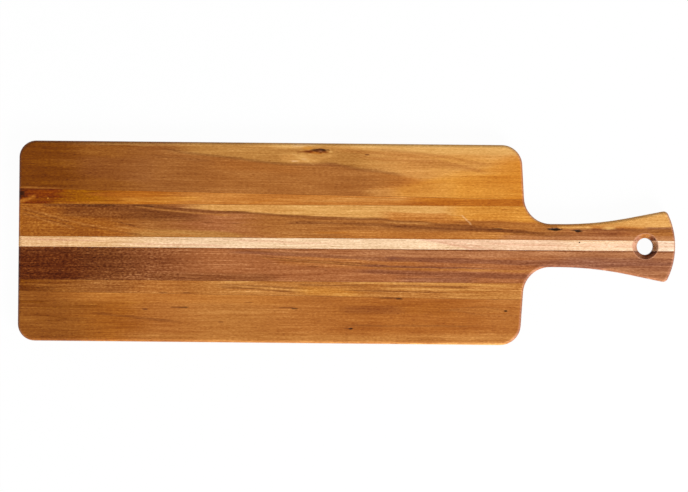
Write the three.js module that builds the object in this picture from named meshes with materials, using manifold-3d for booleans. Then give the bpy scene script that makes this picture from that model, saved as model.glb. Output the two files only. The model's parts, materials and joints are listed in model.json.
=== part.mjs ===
// Bread board: a long paddle board glued up edge to edge from strips of wood, with a flared
// handle and a countersunk hanging hole. The strips are glued first and shaped as one panel,
// so every strip carries its own share of the outline, the rounded edge and the hole.
// Millimetres, +Z up. The handle points to +X, the far edge is +Y and the near edge is -Y.
// The origin is the middle of the board's length and width, on the underside.
import * as THREE from "three";
import { mergeVertices } from "three/addons/utils/BufferGeometryUtils.js";
import Module from "manifold-3d";

const wasm = await Module();
wasm.setup();

// Blade, the wide part that the bread lies on. Its length is taken along its long edges, to where the
// shoulders would meet them without their round corners. The shoulders lean towards the handle.
const BLADE_LENGTH = 446.2;
const BLADE_WIDTH = 178;
const BOARD_THICKNESS = 19;
const BLADE_CORNER_RADIUS = 15;
const SHOULDER_LEAN = THREE.MathUtils.degToRad(3.5);
const SHOULDER_CORNER_RADIUS = 18.5;

// Handle, from the blade to the middle of its curved end
const HANDLE_LENGTH = 137.8;
const NECK_WIDTH = 38.4;
const NECK_FILLET_RADIUS = 24;
const FLARE_START = 34.8;
const FLARE_RADIUS = 320;
const FLARE_ANGLE = THREE.MathUtils.degToRad(11.4);
const HANDLE_END_RADIUS = 67;
const HANDLE_CORNER_RADIUS = 4.5;

// Router round along both faces' edges, and the hanging hole
const EDGE_ROUND = 3;
const HOLE_DIAMETER = 15;
const HOLE_INSET = 26.6;
const COUNTERSINK_WIDTH = 3.9;
const COUNTERSINK_DEPTH = 3.9;

// Strips, measured across the board at the blade's end and at the shoulder. The two edge strips
// take up the rest of the blade's width.
const PALE_OFFSET = { atBladeEnd: -0.8, atShoulder: 0.2 };
const PALE_WIDTH = { atBladeEnd: 9.2, atShoulder: 9.2 };
const FAR_CORE_WIDTH = { atBladeEnd: 29, atShoulder: 29.8 };
const NEAR_CORE_WIDTH = { atBladeEnd: 29, atShoulder: 29.4 };
const FAR_TAPER_WIDTH = { atBladeEnd: 13.6, atShoulder: 6.1 };
const NEAR_TAPER_WIDTH = { atBladeEnd: 10.4, atShoulder: 14.7 };

// Glue line: a film of dried glue between two strips, clear of both by the same small gap
const GLUE_FILM = 0.12;
const GLUE_CLEARANCE = 0.02;

// Fineness of the round stretches: each arc has twice ARC_STEPS segments
const ARC_STEPS = 6;
const ROUND_STEPS = 6;
const HOLE_SEGMENTS = 64;

// Places that follow from the sizes above
const BLADE_END_X = -(BLADE_LENGTH + HANDLE_LENGTH) / 2;
const SHOULDER_X = BLADE_END_X + BLADE_LENGTH;
const HANDLE_END_X = SHOULDER_X + HANDLE_LENGTH;
const HOLE_X = HANDLE_END_X - HOLE_INSET;
const HOLE_RADIUS = HOLE_DIAMETER / 2;
const CUT_MARGIN = 10;
const QUARTER_TURN = Math.PI / 2;

// The small corner of the handle lies against the straight side of the flare and inside the
// curved end. Its centre is on the far side, and the near corner mirrors it.
function handleCorner() {
  const along = new THREE.Vector2(Math.cos(FLARE_ANGLE), Math.sin(FLARE_ANGLE));
  const inward = new THREE.Vector2(along.y, -along.x);
  const endCentre = new THREE.Vector2(HANDLE_END_X - HANDLE_END_RADIUS, 0);
  const flareStop = new THREE.Vector2(
    SHOULDER_X + FLARE_START + FLARE_RADIUS * along.y,
    NECK_WIDTH / 2 + FLARE_RADIUS * (1 - along.x),
  );
  const offset = flareStop.addScaledVector(inward, HANDLE_CORNER_RADIUS).sub(endCentre);
  const reach = HANDLE_END_RADIUS - HANDLE_CORNER_RADIUS;
  const ahead = offset.dot(along);
  const travel = -ahead + Math.sqrt(ahead * ahead - offset.lengthSq() + reach * reach);
  const fromEndCentre = offset.addScaledVector(along, travel);
  return {
    centre: fromEndCentre.clone().add(endCentre),
    endAngle: fromEndCentre.angle(),
  };
}

// The plan of the whole board, anticlockwise from the blade's near corner.
function boardOutline() {
  const halfBlade = BLADE_WIDTH / 2;
  const halfNeck = NECK_WIDTH / 2;
  const bladeCorner = { x: BLADE_END_X + BLADE_CORNER_RADIUS, y: halfBlade - BLADE_CORNER_RADIUS };
  const shoulderAt = (y) => SHOULDER_X + (halfBlade - y) * Math.tan(SHOULDER_LEAN);
  const shoulderCorner = { y: halfBlade - SHOULDER_CORNER_RADIUS };
  shoulderCorner.x = shoulderAt(shoulderCorner.y) - SHOULDER_CORNER_RADIUS / Math.cos(SHOULDER_LEAN);
  const neckFillet = { y: halfNeck + NECK_FILLET_RADIUS };
  neckFillet.x = shoulderAt(neckFillet.y) + NECK_FILLET_RADIUS / Math.cos(SHOULDER_LEAN);
  const flare = { x: SHOULDER_X + FLARE_START, y: halfNeck + FLARE_RADIUS };
  const corner = handleCorner();
  const flareNormal = QUARTER_TURN + FLARE_ANGLE;
  const flareStop = QUARTER_TURN - FLARE_ANGLE;
  const filletStart = 2 * QUARTER_TURN - SHOULDER_LEAN;

  const plan = new THREE.Shape();
  plan.absarc(bladeCorner.x, -bladeCorner.y, BLADE_CORNER_RADIUS, -2 * QUARTER_TURN, -QUARTER_TURN);
  plan.absarc(shoulderCorner.x, -shoulderCorner.y, SHOULDER_CORNER_RADIUS, -QUARTER_TURN, -SHOULDER_LEAN);
  plan.absarc(neckFillet.x, -neckFillet.y, NECK_FILLET_RADIUS, filletStart, QUARTER_TURN, true);
  plan.absarc(flare.x, -flare.y, FLARE_RADIUS, QUARTER_TURN, flareStop, true);
  plan.absarc(corner.centre.x, -corner.centre.y, HANDLE_CORNER_RADIUS, -flareNormal, -corner.endAngle);
  plan.absarc(HANDLE_END_X - HANDLE_END_RADIUS, 0, HANDLE_END_RADIUS, -corner.endAngle, corner.endAngle);
  plan.absarc(corner.centre.x, corner.centre.y, HANDLE_CORNER_RADIUS, corner.endAngle, flareNormal);
  plan.absarc(flare.x, flare.y, FLARE_RADIUS, -flareStop, -QUARTER_TURN, true);
  plan.absarc(neckFillet.x, neckFillet.y, NECK_FILLET_RADIUS, -QUARTER_TURN, -filletStart, true);
  plan.absarc(shoulderCorner.x, shoulderCorner.y, SHOULDER_CORNER_RADIUS, SHOULDER_LEAN, QUARTER_TURN);
  plan.absarc(bladeCorner.x, bladeCorner.y, BLADE_CORNER_RADIUS, QUARTER_TURN, 2 * QUARTER_TURN);
  plan.closePath();
  return plan;
}

function solidOf(geometry) {
  const bare = geometry.index ? geometry.toNonIndexed() : geometry.clone();
  bare.deleteAttribute("normal");
  bare.deleteAttribute("uv");
  const merged = mergeVertices(bare);
  return new wasm.Manifold(
    new wasm.Mesh({
      numProp: 3,
      vertProperties: new Float32Array(merged.attributes.position.array),
      triVerts: new Uint32Array(merged.index.array),
    }),
  );
}

function geometryOf(solid) {
  const mesh = solid.getMesh();
  const geometry = new THREE.BufferGeometry();
  geometry.setAttribute("position", new THREE.BufferAttribute(mesh.vertProperties, 3));
  geometry.setIndex(new THREE.BufferAttribute(mesh.triVerts, 1));
  geometry.computeVertexNormals();
  return geometry;
}

// The panel after shaping: the plan with a quarter-round along both faces' edges.
function shapedPanel() {
  const panel = new THREE.ExtrudeGeometry(boardOutline(), {
    depth: BOARD_THICKNESS - 2 * EDGE_ROUND,
    curveSegments: ARC_STEPS,
    bevelEnabled: true,
    bevelThickness: EDGE_ROUND,
    bevelSize: EDGE_ROUND,
    bevelOffset: -EDGE_ROUND,
    bevelSegments: ROUND_STEPS,
  });
  return solidOf(panel.translate(0, 0, EDGE_ROUND));
}

// The hanging hole: a bore, countersunk from both faces.
function hangingHole() {
  const mouth = HOLE_RADIUS + COUNTERSINK_WIDTH;
  const wide = mouth + (CUT_MARGIN * COUNTERSINK_WIDTH) / COUNTERSINK_DEPTH;
  const profile = [
    [0, -CUT_MARGIN],
    [wide, -CUT_MARGIN],
    [HOLE_RADIUS, COUNTERSINK_DEPTH],
    [HOLE_RADIUS, BOARD_THICKNESS - COUNTERSINK_DEPTH],
    [wide, BOARD_THICKNESS + CUT_MARGIN],
    [0, BOARD_THICKNESS + CUT_MARGIN],
  ].map(([radius, height]) => new THREE.Vector2(radius, height));
  const cutter = new THREE.LatheGeometry(profile, HOLE_SEGMENTS);
  return solidOf(cutter.rotateX(QUARTER_TURN).translate(HOLE_X, 0, 0));
}

// A line across the glue-up is a pair of distances from the board's middle, at the blade's end and
// at the shoulder. It runs straight on into the handle.
const shifted = (line, by) => ({
  atBladeEnd: line.atBladeEnd + by.atBladeEnd,
  atShoulder: line.atShoulder + by.atShoulder,
});
const scaled = (line, factor) => ({
  atBladeEnd: line.atBladeEnd * factor,
  atShoulder: line.atShoulder * factor,
});
const moved = (line, distance) => shifted(line, { atBladeEnd: distance, atShoulder: distance });
const lineAt = (line, x) =>
  THREE.MathUtils.mapLinear(x, BLADE_END_X, SHOULDER_X, line.atBladeEnd, line.atShoulder);

const paleFar = shifted(PALE_OFFSET, scaled(PALE_WIDTH, 0.5));
const paleNear = shifted(PALE_OFFSET, scaled(PALE_WIDTH, -0.5));
const coreFar = shifted(paleFar, FAR_CORE_WIDTH);
const coreNear = shifted(paleNear, scaled(NEAR_CORE_WIDTH, -1));
const taperFar = shifted(coreFar, FAR_TAPER_WIDTH);
const taperNear = shifted(coreNear, scaled(NEAR_TAPER_WIDTH, -1));
const outerEdge = BLADE_WIDTH / 2 + CUT_MARGIN;
const farOutside = { atBladeEnd: outerEdge, atShoulder: outerEdge };
const nearOutside = scaled(farOutside, -1);

const PAST_BLADE_END = BLADE_END_X - CUT_MARGIN;
const PAST_HANDLE_END = HANDLE_END_X + CUT_MARGIN;

// An upright block between two lines of the glue-up, from one place along the board to another.
function slab(nearLine, farLine, fromX, toX) {
  const plan = new THREE.Shape();
  plan.moveTo(fromX, lineAt(nearLine, fromX));
  plan.lineTo(toX, lineAt(nearLine, toX));
  plan.lineTo(toX, lineAt(farLine, toX));
  plan.lineTo(fromX, lineAt(farLine, fromX));
  plan.closePath();
  const block = new THREE.ExtrudeGeometry(plan, {
    depth: BOARD_THICKNESS + 2 * CUT_MARGIN,
    bevelEnabled: false,
  });
  return solidOf(block.translate(0, 0, -CUT_MARGIN));
}

const wood = (color) => new THREE.MeshStandardMaterial({ color, roughness: 0.55, metalness: 0 });
const driedGlue = new THREE.MeshStandardMaterial({ color: "#8a5a2e", roughness: 0.6, metalness: 0 });

const panel = shapedPanel().subtract(hangingHole());
const board = new THREE.Group();

function addPiece(name, material, block) {
  const piece = new THREE.Mesh(geometryOf(panel.intersect(block)), material);
  piece.name = name;
  board.add(piece);
}

// Each strip stands back from the glue lines beside it by half a glue joint.
const halfJoint = GLUE_FILM / 2 + GLUE_CLEARANCE;

function addStrip(name, color, nearLine, farLine, fromX = PAST_BLADE_END, toX = PAST_HANDLE_END) {
  addPiece(name, wood(color), slab(moved(nearLine, halfJoint), moved(farLine, -halfJoint), fromX, toX));
}

function addGlueLine(name, line, fromX = PAST_BLADE_END, toX = PAST_HANDLE_END) {
  const film = slab(moved(line, -GLUE_FILM / 2), moved(line, GLUE_FILM / 2), fromX, toX);
  addPiece(name, driedGlue, film);
}

// The strips from the near edge to the far edge. The hole is wider than the pale strip, so it
// cuts that strip, and the glue line on each side of it, into a long piece and a short tip.
addStrip("near_edge_strip", "#b87035", nearOutside, taperNear);
addStrip("near_taper_strip", "#b9773a", taperNear, coreNear);
addStrip("near_core_strip", "#9a5a30", coreNear, paleNear);
addStrip("pale_strip", "#f3cd9f", paleNear, paleFar, PAST_BLADE_END, HOLE_X);
addStrip("pale_strip_tip", "#f3cd9f", paleNear, paleFar, HOLE_X, PAST_HANDLE_END);
addStrip("far_core_strip", "#b0713a", paleFar, coreFar);
addStrip("far_taper_strip", "#c0752f", coreFar, taperFar);
addStrip("far_edge_strip", "#b97a3e", taperFar, farOutside);

addGlueLine("glue_line_near_edge", taperNear);
addGlueLine("glue_line_near_taper", coreNear);
addGlueLine("glue_line_pale_near", paleNear, PAST_BLADE_END, HOLE_X);
addGlueLine("glue_line_pale_near_tip", paleNear, HOLE_X, PAST_HANDLE_END);
addGlueLine("glue_line_pale_far", paleFar, PAST_BLADE_END, HOLE_X);
addGlueLine("glue_line_pale_far_tip", paleFar, HOLE_X, PAST_HANDLE_END);
addGlueLine("glue_line_far_taper", coreFar);
addGlueLine("glue_line_far_edge", taperFar);

export default board;
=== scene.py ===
# Bread board: the looks of an edge-glued paddle board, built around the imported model.
# Metres, +Z up, with the handle towards +X and the far edge towards +Y.
import json
import math
from dataclasses import dataclass

import bmesh
import bpy
from mathutils import Color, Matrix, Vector
from mathutils import noise as ripple


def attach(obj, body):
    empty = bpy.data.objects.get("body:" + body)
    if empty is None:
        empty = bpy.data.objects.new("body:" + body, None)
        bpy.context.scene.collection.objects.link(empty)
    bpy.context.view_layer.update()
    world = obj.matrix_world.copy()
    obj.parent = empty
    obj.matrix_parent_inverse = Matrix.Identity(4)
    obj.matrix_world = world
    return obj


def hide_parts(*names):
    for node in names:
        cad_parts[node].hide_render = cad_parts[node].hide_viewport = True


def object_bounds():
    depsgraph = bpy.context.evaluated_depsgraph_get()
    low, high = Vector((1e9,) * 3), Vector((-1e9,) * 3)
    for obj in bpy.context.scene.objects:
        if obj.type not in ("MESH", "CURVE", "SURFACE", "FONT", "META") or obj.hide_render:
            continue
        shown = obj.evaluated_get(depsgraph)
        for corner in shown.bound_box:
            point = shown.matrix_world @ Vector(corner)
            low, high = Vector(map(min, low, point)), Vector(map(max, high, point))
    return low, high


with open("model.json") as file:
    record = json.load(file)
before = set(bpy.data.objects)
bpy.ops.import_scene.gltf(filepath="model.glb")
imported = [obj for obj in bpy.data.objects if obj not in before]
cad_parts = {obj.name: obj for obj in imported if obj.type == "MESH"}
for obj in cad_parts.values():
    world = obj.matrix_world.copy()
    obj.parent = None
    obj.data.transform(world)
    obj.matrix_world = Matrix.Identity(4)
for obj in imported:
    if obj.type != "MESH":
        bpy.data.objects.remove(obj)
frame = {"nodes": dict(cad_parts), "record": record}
cad_low, cad_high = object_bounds()

# Places on the board are millimetres: along from the blade's end, across from the middle towards the
# far edge, and depth down from the serving face.
MM = 0.001
BLADE_END_X = cad_low.x
TOP_Z = cad_high.z
BOARD_LENGTH = (cad_high.x - cad_low.x) / MM
BOARD_WIDTH = (cad_high.y - cad_low.y) / MM
BOARD_THICKNESS = (cad_high.z - cad_low.z) / MM

# Hanging hole: its middle, the reach of its bore and of its countersunk mouth, how soft the mouth's border
# is, and how wide the painted highlight on the rim around it is
hole_low, hole_high = frame["record"]["physics"]["openings"][0]["box_m"]
HOLE_ALONG = ((hole_low[0] + hole_high[0]) / 2 - BLADE_END_X) / MM
HOLE_ACROSS = (hole_low[1] + hole_high[1]) / 2 / MM
HOLE_BORE_RADIUS = 7.5
HOLE_MOUTH_RADIUS = 11.4
HOLE_MOUTH_SOFT = 0.4
HOLE_HIGHLIGHT_WIDTH = 1.1

# Photograph: its width in pixels, what a pixel covers on the board, and where its middle looks
PHOTO_WIDTH_PX = 688
BOARD_PER_PIXEL = 0.8887 * MM
VIEW_CENTRE = (-2.6 * MM, -2.2 * MM)
VIEW_TURN = math.radians(0.56)
CAMERA_DISTANCE = 3.1
SENSOR_WIDTH_MM = 36

# Tones of the wood, from bark to sapwood, and of the glue
TONES = {
    "bark": "#2a1408",
    "dark heart": "#652b08",
    "mahogany": "#843600",
    "umber": "#804104",
    "walnut": "#7a4019",
    "ochre": "#9b5400",
    "bistre": "#97561a",
    "plum": "#92532a",
    "copper": "#a55d19",
    "russet": "#a3622a",
    "nutmeg": "#ae6525",
    "chestnut": "#ad6a2e",
    "rosewood": "#ac6738",
    "cocoa": "#a36643",
    "damson": "#7c4632",
    "rust": "#bc6b1a",
    "tan": "#b26b2c",
    "oak": "#bb7735",
    "fawn": "#b8794c",
    "olive": "#c0843e",
    "amber": "#c67b32",
    "marigold": "#d07e20",
    "gold": "#da9034",
    "honey": "#dc9d52",
    "corn": "#e8b064",
    "blush": "#c8917a",
    "straw": "#efbd86",
    "peach": "#e6aa88",
    "shell": "#f2c6a2",
    "cream": "#f8d2a8",
    "ivory": "#fbe3c8",
    "glue": "#6b3f1c",
}


def linear(tone):
    """A named tone as linear red, green, blue and alpha."""
    code = TONES[tone].lstrip("#")
    channels = [int(code[at:at + 2], 16) / 255 for at in (0, 2, 4)]
    return (*Color(channels).from_srgb_to_scene_linear(), 1.0)


# Shader node helpers
def empty_tree(owner):
    owner.use_nodes = True
    owner.node_tree.nodes.clear()
    return owner.node_tree


def add(tree, kind, inputs=None, **settings):
    made = tree.nodes.new(kind)
    for key, value in settings.items():
        setattr(made, key, value)
    for key, value in (inputs or {}).items():
        feed(tree, made.inputs[key], value)
    return made


def feed(tree, socket, value):
    if isinstance(value, bpy.types.NodeSocket):
        tree.links.new(value, socket)
    else:
        socket.default_value = value


def calc(tree, operation, first, second=0.0, third=0.0):
    return add(tree, "ShaderNodeMath", {0: first, 1: second, 2: third}, operation=operation).outputs[0]


def calc_vector(tree, operation, first, second):
    return add(tree, "ShaderNodeVectorMath", {0: first, 1: second}, operation=operation).outputs[0]


def length(tree, vector):
    return add(tree, "ShaderNodeVectorMath", {0: vector}, operation="LENGTH").outputs["Value"]


def ease(tree, value, start, stop):
    """0 before start and 1 after stop, with a smooth step between them."""
    inputs = {"Value": value, "From Min": start, "From Max": stop}
    return add(tree, "ShaderNodeMapRange", inputs, interpolation_type="SMOOTHSTEP").outputs[0]


def along_line(tree, value, start, stop, first, last):
    """The value's share of the way from start to stop, as a number from first to last and beyond."""
    inputs = {"Value": value, "From Min": start, "From Max": stop, "To Min": first, "To Max": last}
    return add(tree, "ShaderNodeMapRange", inputs, clamp=False).outputs[0]


def between(tree, share, first, last):
    """The number that lies this share of the way from first to last."""
    return along_line(tree, share, 0.0, 1.0, first, last)


def swing(tree, value, amount):
    """A number from 0 to 1 turned into one from -amount / 2 to amount / 2."""
    return calc(tree, "MULTIPLY", calc(tree, "SUBTRACT", value, 0.5), amount)


def less(tree, value):
    """What is left of 1."""
    return calc(tree, "SUBTRACT", 1.0, value)


def blend(tree, amount, first, second):
    return add(tree, "ShaderNodeMix", {0: amount, 6: first, 7: second}, data_type="RGBA").outputs[2]


def split(tree, vector):
    return add(tree, "ShaderNodeSeparateXYZ", {0: vector}).outputs


def join(tree, x, y, z):
    return add(tree, "ShaderNodeCombineXYZ", {0: x, 1: y, 2: z}).outputs[0]


@dataclass
class Patches:
    """Noise in the wood: its patch sizes in millimetres along, across and deep, and how fine it is."""
    size: tuple
    detail: float = 2.0
    roughness: float = 0.5


# What raw noise seldom falls below or rises above
NOISE_LOW, NOISE_HIGH = 0.3, 0.7


def noise(tree, vector, patches, seed):
    """Noise from 0 to 1."""
    raw = add(tree, "ShaderNodeTexNoise", {
        "Vector": calc_vector(tree, "DIVIDE", vector, patches.size),
        "W": seed,
        "Scale": 1.0,
        "Detail": patches.detail,
        "Roughness": patches.roughness,
    }, noise_dimensions="4D").outputs[0]
    spread = {"Value": raw, "From Min": NOISE_LOW, "From Max": NOISE_HIGH}
    return add(tree, "ShaderNodeMapRange", spread).outputs[0]


def new_group(name, inputs, outputs):
    tree = bpy.data.node_groups.new(name, "ShaderNodeTree")
    kinds = {"vector": "NodeSocketVector", "value": "NodeSocketFloat"}
    for socket, kind in inputs.items():
        tree.interface.new_socket(socket, in_out="INPUT", socket_type=kinds[kind])
    for socket, kind in outputs.items():
        tree.interface.new_socket(socket, in_out="OUTPUT", socket_type=kinds[kind])
    return tree, tree.nodes.new("NodeGroupInput").outputs, tree.nodes.new("NodeGroupOutput").inputs


def use(tree, group, inputs):
    return add(tree, "ShaderNodeGroup", inputs, node_tree=group).outputs


# Patches of each feature of the wood, of the painted sheen on its rubbed edges and of the painted shade in
# the bore
SLOW_BEND = Patches((130, 34, 30))
QUICK_BEND = Patches((34, 9, 9))
FRAY = Patches((24, 1.6, 4), detail=3)
BANDS = Patches((230, 6, 20))
CLOUDS = Patches((46, 13, 14))
LINES = Patches((55, 1.2, 12), detail=3, roughness=0.65)
FLECKS = Patches((2.8, 0.9, 2.5), detail=3, roughness=0.6)
FIBRES = Patches((9, 0.4, 0.6))
PORES = Patches((5, 0.38, 0.38), detail=1)
WAVES = Patches((9, 5, 6), detail=1)
CURLS = Patches((2.6, 1.3, 3), detail=1)
TEARS = Patches((5, 1.2, 1.2), detail=3)
RUB_AND_SHEEN_PATCHES = Patches((14, 14, 6), detail=3)
BORE_SHADE_PATCHES = Patches((5, 5, 3))
GROUND_SHIFTS = Patches((60, 2.5, 8), detail=3)
GLUE_SPOTS = Patches((12, 3, 4))

# Seeds of the noise that the strips share, and the step from a strip's seed to the seed of its ground
TEAR_SEED, RUB_AND_SHEEN_SEED, GLUE_SEED, BORE_SHADE_SEED = 1.0, 2.0, 3.0, 6.0
GROUND_SEED_STEP = 5

# How much of the fibres' wander is slow, quick and frayed
SLOW_SHARE, QUICK_SHARE, FRAY_SHARE = 0.6, 0.3, 0.5

# Grain: the noise at which a pore or a curl begins and is full, how far curls wave, how dark fibres are, how
# high lines and pores stand, and how dull lines are
PORE_START, PORE_FULL = 0.72, 0.95
CURL_START, CURL_FULL = 0.15, 0.85
WAVE_REACH = 1.6
FIBRE_DEPTH = 0.12
LINE_HEIGHT, PORE_HEIGHT = -0.5, -1.5
LINE_DULLNESS = 0.5

# The share of its depth down to which a streak keeps its strength, and the depth that keeps it all through
STREAK_FULL_SHARE = 0.5
ALL_THROUGH = BOARD_THICKNESS / STREAK_FULL_SHARE

# How far a surface faces along the board where end grain begins and is full
END_START, END_FULL = 0.45, 0.8

# Rubbed edges, lightened partly as wear and partly as a painted sheen of the light on the round-overs: how
# far a surface faces up where the round-over leaves the face and the side, how far it faces along where it
# crosses the fibres, where along the board hands rub it, and the least share of each
FACE_START, FACE_FULL = 0.98, 0.8
SIDE_START, SIDE_FULL = 0.05, 0.4
CROSSING_START, CROSSING_FULL = 0.1, 0.5
HANDLED_START, HANDLED_FULL = 60, 420
WITH_FIBRES_SHARE = 0.4
UNHANDLED_SHARE = 0.15
RUB_AND_SHEEN_LEAST = 0.5

# Painted shade in the bore: which way round the hole its shaded side lies, how that side begins and is full,
# and the shares left on the other side, at the mouth and in each patch
BORE_SHADE_TURN = math.radians(-25)
BORE_SHADE_START, BORE_SHADE_FULL = -0.1, 0.8
BORE_SHADE_OTHER_SIDE = 0.25
BORE_SHADE_MOUTH = 0.4
BORE_SHADE_LEAST, BORE_SHADE_MOST = 0.4, 1.3


# Effects that the strips share, each a node group
def make_board_place():
    """Where a point lies on the board, in millimetres along, across and deep."""
    tree, _, result = new_group("Board place", {}, {"Place": "vector"})
    here = add(tree, "ShaderNodeTexCoord").outputs["Object"]
    from_corner = calc_vector(tree, "SUBTRACT", here, (BLADE_END_X, 0, TOP_Z))
    feed(tree, result["Place"], calc_vector(tree, "DIVIDE", from_corner, (MM, MM, -MM)))
    return tree


def make_grain_flow():
    """The board's place bent along the wandering fibres, and bowed with depth as growth rings are."""
    sockets = {"Place": "vector", "Lean": "value", "Bow": "value", "Wander": "value", "Seed": "value"}
    tree, given, result = new_group("Grain flow", sockets, {"Flow": "vector"})
    along, across, depth = split(tree, given["Place"])
    slow = noise(tree, given["Place"], SLOW_BEND, given["Seed"])
    quick = noise(tree, given["Place"], QUICK_BEND, given["Seed"])
    frayed = noise(tree, given["Place"], FRAY, given["Seed"])
    bend = calc(tree, "ADD", swing(tree, slow, SLOW_SHARE), swing(tree, quick, QUICK_SHARE))
    bend = calc(tree, "ADD", bend, swing(tree, frayed, FRAY_SHARE))
    ring = calc(tree, "MULTIPLY", depth, calc(tree, "MULTIPLY_ADD", depth, given["Bow"], given["Lean"]))
    shift = calc(tree, "MULTIPLY_ADD", bend, given["Wander"], ring)
    feed(tree, result["Flow"], join(tree, along, calc(tree, "ADD", across, shift), depth))
    return tree


def make_knot_bend():
    """Fibres that part around a knot."""
    sockets = {"Flow": "vector", "Centre": "vector", "Reach": "vector", "Part": "value"}
    tree, given, result = new_group("Knot bend", sockets, {"Flow": "vector"})
    offset = calc_vector(tree, "SUBTRACT", given["Flow"], given["Centre"])
    distance = length(tree, calc_vector(tree, "DIVIDE", offset, given["Reach"]))
    near = calc(tree, "MULTIPLY", ease(tree, distance, 1.0, 0.0), given["Part"])
    pulled = calc(tree, "MULTIPLY", split(tree, offset)[1], near)
    feed(tree, result["Flow"], calc_vector(tree, "SUBTRACT", given["Flow"], join(tree, 0.0, pulled, 0.0)))
    return tree


def make_wood_grain():
    """Growth lines, fibres, pores and curly figure. Depth is how far the tone deepens."""
    amounts = ["Bands", "Lines", "Flecks", "Pores", "Curl"]
    sockets = {"Flow": "vector", "Seed": "value", **dict.fromkeys(amounts, "value")}
    outputs = {"Depth": "value", "Height": "value", "Dullness": "value"}
    tree, given, result = new_group("Wood grain", sockets, outputs)
    flow, seed = given["Flow"], given["Seed"]
    along, across, depth = split(tree, flow)
    bands = noise(tree, flow, BANDS, seed)
    clouds = noise(tree, flow, CLOUDS, seed)
    lines = noise(tree, flow, LINES, seed)
    flecks = noise(tree, flow, FLECKS, seed)
    fibres = noise(tree, flow, FIBRES, seed)
    pores = ease(tree, noise(tree, flow, PORES, seed), PORE_START, PORE_FULL)
    waves = noise(tree, flow, WAVES, seed)
    waved = join(tree, along, calc(tree, "ADD", across, swing(tree, waves, WAVE_REACH)), depth)
    curl = ease(tree, noise(tree, waved, CURLS, seed), CURL_START, CURL_FULL)
    total = calc(tree, "ADD", swing(tree, bands, given["Bands"]), swing(tree, clouds, given["Bands"]))
    total = calc(tree, "ADD", total, swing(tree, lines, given["Lines"]))
    total = calc(tree, "ADD", total, swing(tree, flecks, given["Flecks"]))
    total = calc(tree, "ADD", total, swing(tree, fibres, FIBRE_DEPTH))
    total = calc(tree, "ADD", total, swing(tree, curl, given["Curl"]))
    feed(tree, result["Depth"], calc(tree, "MULTIPLY_ADD", pores, given["Pores"], total))
    ridge = calc(tree, "MULTIPLY_ADD", lines, LINE_HEIGHT, fibres)
    feed(tree, result["Height"], calc(tree, "MULTIPLY_ADD", pores, PORE_HEIGHT, ridge))
    feed(tree, result["Dullness"], calc(tree, "MULTIPLY_ADD", lines, LINE_DULLNESS, pores))
    return tree


def make_streak():
    """Mask of a band that runs with the fibres. Its middle and half are shares of the board's width."""
    numbers = ["Middle", "Half", "Start", "End", "Soft", "Fade", "Deep"]
    sockets = {"Flow": "vector", **dict.fromkeys(numbers, "value")}
    tree, given, result = new_group("Streak", sockets, {"Mask": "value"})
    along, across, depth = split(tree, given["Flow"])
    start, end, fade, deep = (given[name] for name in ("Start", "End", "Fade", "Deep"))
    middle = between(tree, given["Middle"], -BOARD_WIDTH / 2, BOARD_WIDTH / 2)
    half = calc(tree, "MULTIPLY", given["Half"], BOARD_WIDTH)
    off = calc(tree, "ABSOLUTE", calc(tree, "SUBTRACT", across, middle))
    inside = ease(tree, off, calc(tree, "ADD", half, given["Soft"]), half)
    begun = ease(tree, along, calc(tree, "SUBTRACT", start, fade), start)
    lasting = ease(tree, along, calc(tree, "ADD", end, fade), end)
    shallow = ease(tree, depth, deep, calc(tree, "MULTIPLY", deep, STREAK_FULL_SHARE))
    inside = calc(tree, "MULTIPLY", inside, calc(tree, "MULTIPLY", begun, lasting))
    feed(tree, result["Mask"], calc(tree, "MULTIPLY", inside, shallow))
    return tree


def make_mark():
    """Mask of a ragged lens-shaped mark in the wood, such as a knot, a bark slit or a pin hole."""
    sockets = {"Place": "vector", "Centre": "vector", "Reach": "vector", "Soft": "value", "Ragged": "value"}
    tree, given, result = new_group("Mark", sockets, {"Mask": "value"})
    offset = calc_vector(tree, "SUBTRACT", given["Place"], given["Centre"])
    distance = length(tree, calc_vector(tree, "DIVIDE", offset, given["Reach"]))
    torn = swing(tree, noise(tree, given["Place"], TEARS, TEAR_SEED), given["Ragged"])
    outside = ease(tree, calc(tree, "ADD", distance, torn), less(tree, given["Soft"]), 1.0)
    feed(tree, result["Mask"], less(tree, outside))
    return tree


def make_end_grain():
    """Mask of the faces that the fibres run out of."""
    tree, _, result = new_group("End grain", {}, {"Mask": "value"})
    normal = add(tree, "ShaderNodeNewGeometry").outputs["Normal"]
    facing = calc(tree, "ABSOLUTE", split(tree, normal)[0])
    feed(tree, result["Mask"], ease(tree, facing, END_START, END_FULL))
    return tree


def make_rubbed_edge_and_sheen():
    """Patchy mask of the rounded edges that are lightened, partly as wear where handling rubs the oil thin
    and partly as a painted sheen of the light on them: most of all across the fibres, and towards the
    handle."""
    outputs = {"Mask": "value", "Crossing": "value"}
    tree, given, result = new_group("Rubbed edge and sheen", {"Place": "vector"}, outputs)
    normal = split(tree, add(tree, "ShaderNodeNewGeometry").outputs["Normal"])
    upright = calc(tree, "ABSOLUTE", normal[2])
    off_face = ease(tree, upright, FACE_START, FACE_FULL)
    rounded = calc(tree, "MULTIPLY", off_face, ease(tree, upright, SIDE_START, SIDE_FULL))
    crossing = ease(tree, calc(tree, "ABSOLUTE", normal[0]), CROSSING_START, CROSSING_FULL)
    share = between(tree, crossing, WITH_FIBRES_SHARE, 1.0)
    along = split(tree, given["Place"])[0]
    handled = between(tree, ease(tree, along, HANDLED_START, HANDLED_FULL), UNHANDLED_SHARE, 1.0)
    patches = between(tree, noise(tree, given["Place"], RUB_AND_SHEEN_PATCHES, RUB_AND_SHEEN_SEED), RUB_AND_SHEEN_LEAST, 1.0)
    rubbed_and_sheen = calc(tree, "MULTIPLY", calc(tree, "MULTIPLY", rounded, share), handled)
    feed(tree, result["Mask"], calc(tree, "MULTIPLY", rubbed_and_sheen, patches))
    feed(tree, result["Crossing"], crossing)
    return tree


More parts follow.
